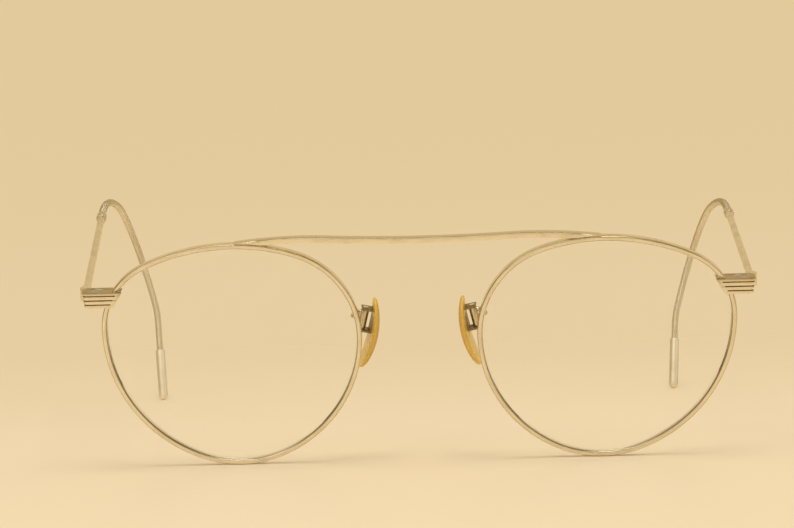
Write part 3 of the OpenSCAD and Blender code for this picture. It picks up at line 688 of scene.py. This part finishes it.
def buildTemple(side):
    name = sideNames[side]
    body = name + "_temple"
    start = templeStart(side)
    bm = bmesh.new()
    first = temple["socket"] - temple["seat"]
    length = temple["run"] - temple["cableLead"] - first
    latheOn(bm, goOn(start, first),
            [(0, 0), (temple["wireR"], 0)] + [(temple["wireR"], length * i / 6)
                                              for i in range(1, 7)] + [(0, length)])
    finishPiece(bm, name + "TempleShaft", side, body, [name + "_temple_shaft"],
                rubbedMetal)
    bm = bmesh.new()
    at = goOn(cableStart(side), -ferrule["length"] / 2)
    r = ferrule["outer"]
    latheOn(bm, at, [(0, 0)] + roundEnd(r, 0, 0.25, -1) + roundEnd(r, ferrule["length"], 0.25, 1)
            + [(0, ferrule["length"])])
    markTarnishAndShade(bm, lambda p: ferrule["grime"])
    finishPiece(bm, name + "Ferrule", side, body, [name + "_ferrule"], rubbedMetal)
    bm = bmesh.new()
    r = temple["tipR"]
    latheOn(bm, tipStart(side)[0], [(0, 0)] + roundEnd(r, 0, 0.22, -1)
            + roundEnd(r, temple["tipLen"] + r, r, 1, 10))
    markTarnishAndShade(bm, lambda p: temple["tipGrime"])
    finishPiece(bm, name + "TempleTip", side, body, [name + "_temple_tip"],
                tipMetal)
    buildCable(side)


for side in (1, -1):
    buildTemple(side)
print("temples built")

guard = {"footV": 5.8, "wireR": 0.42, "foot": 0.4, "firstR": 1.5, "firstTurn": 45, "loopR": 1.7,
         "loopTurn": 150, "knuckleR": 0.75, "knuckleHigh": 3.5, "pinBore": 0.38, "solderR": 0.66,
         "grime": 0.25, "footGrime": 0.5}
pad = {"splay": 6, "length": 13.4, "deep": 7, "fuller": 0.06, "drop": 2.5, "backX": 22.269,
       "backR": 24, "domeX": 13.319, "domeR": 16.5, "edge": 4.5, "boxGrime": 0.45}


def padFrame(side):
    # The pin's own frame: Z along the pin, X away from the nose
    joint = joints[sideNames[side] + "_pad_swivel"]
    back = toWorld[side].inverted()
    along = (back.to_3x3() @ Vector(joint["axis"])).normalized()
    return pathFrame(back @ Vector(joint["pos_m"]), (along.z, 0, -along.x), (0, 1, 0), along)


def buildGuard(side):
    name = sideNames[side]
    bm = bmesh.new()
    centre, radius = rimArcs[3][0], rimArcs[3][1]
    u = centre.x - math.sqrt(radius ** 2 - (guard["footV"] - centre.y) ** 2)
    start = pathFrame((u, wire["deep"] / 2, guard["footV"]), (0, 0, 1), (0, 1, 0), (-1, 0, 0))
    drawWire(bm, start, guard["wireR"],
             [("go", guard["foot"], 0), ("bend", guard["firstTurn"], guard["firstR"]),
              ("roll", 180, 0), ("bend", guard["loopTurn"], guard["loopR"])])
    latheOn(bm, start, [(0, 0), (guard["solderR"], 0), (guard["solderR"] - 0.1, 0.12),
                        (guard["wireR"] + 0.03, 0.4), (0, 0.45)], 24)
    pin = padFrame(side) @ Matrix.Rotation(math.pi / 2, 4, "X")  # its Y runs down the pin
    high = guard["knuckleHigh"] / 2
    r, bore = guard["knuckleR"], guard["pinBore"]
    ring = roundEnd(r, -high, 0.1, -1) + roundEnd(r, high, 0.1, 1)
    latheOn(bm, pin, [(bore, high), (bore, -high)] + ring + [(bore, high)], 28)
    foot = start.to_translation()
    markTarnishAndShade(bm, lambda p: guard["grime"]
                + guard["footGrime"] * max(0, 1 - (p - foot).length / 1.5))
    finishPiece(bm, name + "GuardArm", side, "front", [name + "_guard_arm"],
                frameMetal)


def buildPad(side):
    name = sideNames[side]
    body = name + "_pad"
    bm = bmesh.new()
    bmesh.ops.create_uvsphere(bm, u_segments=64, v_segments=36, radius=1)
    edgeLayer = bm.verts.layers.float.new("nosewardEdge")
    f = padFrame(side) @ Matrix.Rotation(math.radians(-pad["splay"]), 4, "Z")
    k = pad["edge"]
    for v in bm.verts:
        out, turn, across = math.hypot(v.co.x, v.co.y), math.atan2(v.co.y, v.co.x), v.co.z
        fill = (out ** k + abs(across) ** k) ** (-1 / k)
        out, across = out * fill, across * fill
        y = out * pad["deep"] / 2 * math.cos(turn) * (1 - pad["fuller"] * math.sin(turn))
        z = out * pad["length"] / 2 * math.sin(turn)
        face = pad["domeX"] - math.sqrt(pad["domeR"] ** 2 - y * y - z * z)
        hollow = pad["backX"] - math.sqrt(pad["backR"] ** 2 - z * z)
        x = face + (hollow - face) * (1 + across) / 2
        v.co = f @ Vector((x, y, z - pad["drop"]))
        v[edgeLayer] = max(0, -across) * (0.35 + 0.65 * out ** 2)
    finishPiece(bm, name + "NosePad", side, body, [name + "_nose_pad"], amber, 60)
    bm = cadCopy(name + "_pad_box", side)
    softenEdges(bm, 0.1, 40, 2)
    markTarnishAndShade(bm, lambda p: pad["boxGrime"])
    finishPiece(bm, name + "PadBox", side, body, [name + "_pad_box"], boxMetal)
    bm = cadCopy(name + "_pad_pin", side)
    softenEdges(bm, 0.07, 40, 2)
    finishPiece(bm, name + "PadPin", side, body, [name + "_pad_pin"], frameMetal)


for side in (1, -1):
    buildGuard(side)
    buildPad(side)
for name in ("left_cable_core", "right_cable_core"):
    cad[name].data.materials.clear()
    cad[name].data.materials.append(cableMetal)
print("nose pads built")

table = {"cream": (0.825, 0.672, 0.458), "warm": (0.805, 0.647, 0.432), "wide": 1.6, "near": -1.4,
         "coveStart": 0.75, "coveR": 0.6, "high": 1.0, "far": (0.8, 0.615, 0.36),
         "farthest": (0.76, 0.585, 0.33), "fadeFrom": 0.0, "fadeTo": 0.16}


def buildTable():
    material, tree, shader = newMaterial("creamTable")
    cloudy = between(tree, noiseAt(tree, 5, 2), 0.3, 0.7)
    tree.links.new(mixColors(tree, cloudy, (*table["cream"], 1), (*table["warm"], 1)),
                   shader.inputs["Base Color"])
    tree.links.new(between(tree, noiseAt(tree, 25, 2), 0.3, 0.7, 0.3, 0.33),
                   shader.inputs["Roughness"])
    # Past the glasses it shows as an even backdrop, to the camera and in what mirrors it
    where = addNode(tree, "ShaderNodeTexCoord")
    parts = addNode(tree, "ShaderNodeSeparateXYZ")
    tree.links.new(where.outputs["Object"], parts.inputs[0])
    plain = addNode(tree, "ShaderNodeEmission")
    tree.links.new(mixColors(tree, between(tree, parts.outputs["Y"], 0.3, 1.2),
                             (*table["far"], 1), (*table["farthest"], 1)), plain.inputs["Color"])
    rays = addNode(tree, "ShaderNodeLightPath")
    seen = mathNode(tree, "MAXIMUM", rays.outputs["Is Camera Ray"], rays.outputs["Is Glossy Ray"])
    seen = mathNode(tree, "MAXIMUM", seen, rays.outputs["Is Transmission Ray"])
    fade = between(tree, parts.outputs["Y"], table["fadeFrom"], table["fadeTo"])
    mix = addNode(tree, "ShaderNodeMixShader")
    tree.links.new(mathNode(tree, "MULTIPLY", seen, fade), mix.inputs[0])
    tree.links.new(shader.outputs[0], mix.inputs[1])
    tree.links.new(plain.outputs[0], mix.inputs[2])
    tree.links.new(mix.outputs[0], tree.nodes["Material Output"].inputs["Surface"])
    bm = bmesh.new()
    ends = [bm.verts.new((x, table["near"], 0)) for x in (-table["wide"], table["wide"])]
    edges = [bm.edges.new(ends)]
    for reach in ((0, table["coveStart"] - table["near"], 0), None, (0, 0, table["high"])):
        if reach is None:
            made = bmesh.ops.spin(bm, geom=ends + edges, axis=(1, 0, 0), angle=math.pi / 2,
                                  cent=(0, table["coveStart"], table["coveR"]), steps=24,
                                  use_duplicate=False)["geom_last"]
        else:
            made = bmesh.ops.extrude_edge_only(bm, edges=edges)["geom"]
            fresh = [g for g in made if isinstance(g, bmesh.types.BMVert)]
            bmesh.ops.translate(bm, vec=reach, verts=fresh)
        ends = [g for g in made if isinstance(g, bmesh.types.BMVert)]
        edges = [e for e in bm.edges if set(e.verts) == set(ends)]
    bmesh.ops.recalc_face_normals(bm, faces=bm.faces)
    if bm.faces[0].normal.z < 0:
        bmesh.ops.reverse_faces(bm, faces=bm.faces)
    mesh = bpy.data.meshes.new("tableAndBackdrop")
    bm.to_mesh(mesh)
    bm.free()
    mesh.shade_smooth()
    mesh.materials.append(material)
    piece = bpy.data.objects.new("tableAndBackdrop", mesh)
    bpy.context.scene.collection.objects.link(piece)


surround = {"light": (1, 0.985, 0.96), "strength": 0.7, "pale": (0.82, 0.7, 0.5),
            "dark": (0.235, 0.135, 0.02), "above": (0.05, 0.4), "aside": (0.45, 0.8)}


def buildWorld():
    # Pale all round, and darker overhead and at the sides for what the metal mirrors
    world = bpy.data.worlds.new("studio")
    bpy.context.scene.world = world
    world.use_nodes = True
    tree = world.node_tree
    light = tree.nodes["Background"]
    light.inputs["Color"].default_value = (*surround["light"], 1)
    light.inputs["Strength"].default_value = surround["strength"]
    where = addNode(tree, "ShaderNodeTexCoord")
    parts = addNode(tree, "ShaderNodeSeparateXYZ")
    tree.links.new(where.outputs["Generated"], parts.inputs[0])
    mirrored = addNode(tree, "ShaderNodeBackground", {"Strength": 1})
    above = between(tree, parts.outputs["Z"], *surround["above"])
    aside = between(tree, mathNode(tree, "ABSOLUTE", parts.outputs["X"], 0), *surround["aside"])
    shade = mixColors(tree, mathNode(tree, "MAXIMUM", above, aside), (*surround["pale"], 1),
                      (*surround["dark"], 1))
    tree.links.new(shade, mirrored.inputs["Color"])
    rays = addNode(tree, "ShaderNodeLightPath")
    mix = addNode(tree, "ShaderNodeMixShader")
    tree.links.new(rays.outputs["Is Glossy Ray"], mix.inputs[0])
    tree.links.new(light.outputs[0], mix.inputs[1])
    tree.links.new(mirrored.outputs[0], mix.inputs[2])
    tree.links.new(mix.outputs[0], tree.nodes["World Output"].inputs["Surface"])


lamps = {"overhead": {"place": (0, -0.22, 0.75), "size": 0.35, "power": 2.2,
                      "color": (1, 0.96, 0.9)},
         "front": {"place": (-0.45, -0.7, 0.55), "size": 0.45, "power": 1.6,
                   "color": (1, 0.97, 0.93)},
         "right": {"place": (0.7, -0.1, 0.45), "size": 0.35, "power": 1.0,
                   "color": (1, 0.95, 0.88)}}


def buildLamps():
    for name, lamp in lamps.items():
        data = bpy.data.lights.new(name, "AREA")
        data.shape, data.size = "SQUARE", lamp["size"]
        data.energy, data.color = lamp["power"], lamp["color"]
        piece = bpy.data.objects.new(name, data)
        aim = Vector((0, -0.03, 0.02)) - Vector(lamp["place"])
        piece.location = lamp["place"]
        piece.rotation_euler = aim.to_track_quat("-Z", "Y").to_euler()
        bpy.context.scene.collection.objects.link(piece)


camera = {"lens": 125.95, "place": (-2.9, -495.33, 72.4), "down": 4.2, "yaw": -0.1, "roll": -1.32}


def buildCamera():
    # Where the photograph was taken from, measured from the front's own place
    data = bpy.data.cameras.new("camera")
    data.sensor_width, data.lens = 36, camera["lens"]
    piece = bpy.data.objects.new("camera", data)
    bpy.context.scene.collection.objects.link(piece)
    down, yaw, roll = (math.radians(camera[key]) for key in ("down", "yaw", "roll"))
    ahead = Vector((math.sin(yaw) * math.cos(down), math.cos(yaw) * math.cos(down),
                    -math.sin(down)))
    right = Vector((math.cos(yaw), -math.sin(yaw), 0))
    up = right.cross(ahead)
    across = math.cos(roll) * right + math.sin(roll) * up
    upward = math.cos(roll) * up - math.sin(roll) * right
    x, y, z = camera["place"]
    place = Vector((x / 1000, toWorld[1].translation.y + y / 1000, z / 1000))
    piece.matrix_world = pathFrame(place, across, upward, -ahead)
    bpy.context.scene.camera = piece


buildTable()
buildWorld()
buildLamps()
buildCamera()
bpy.context.scene.view_settings.view_transform = "Standard"
print("table, light and camera ready")
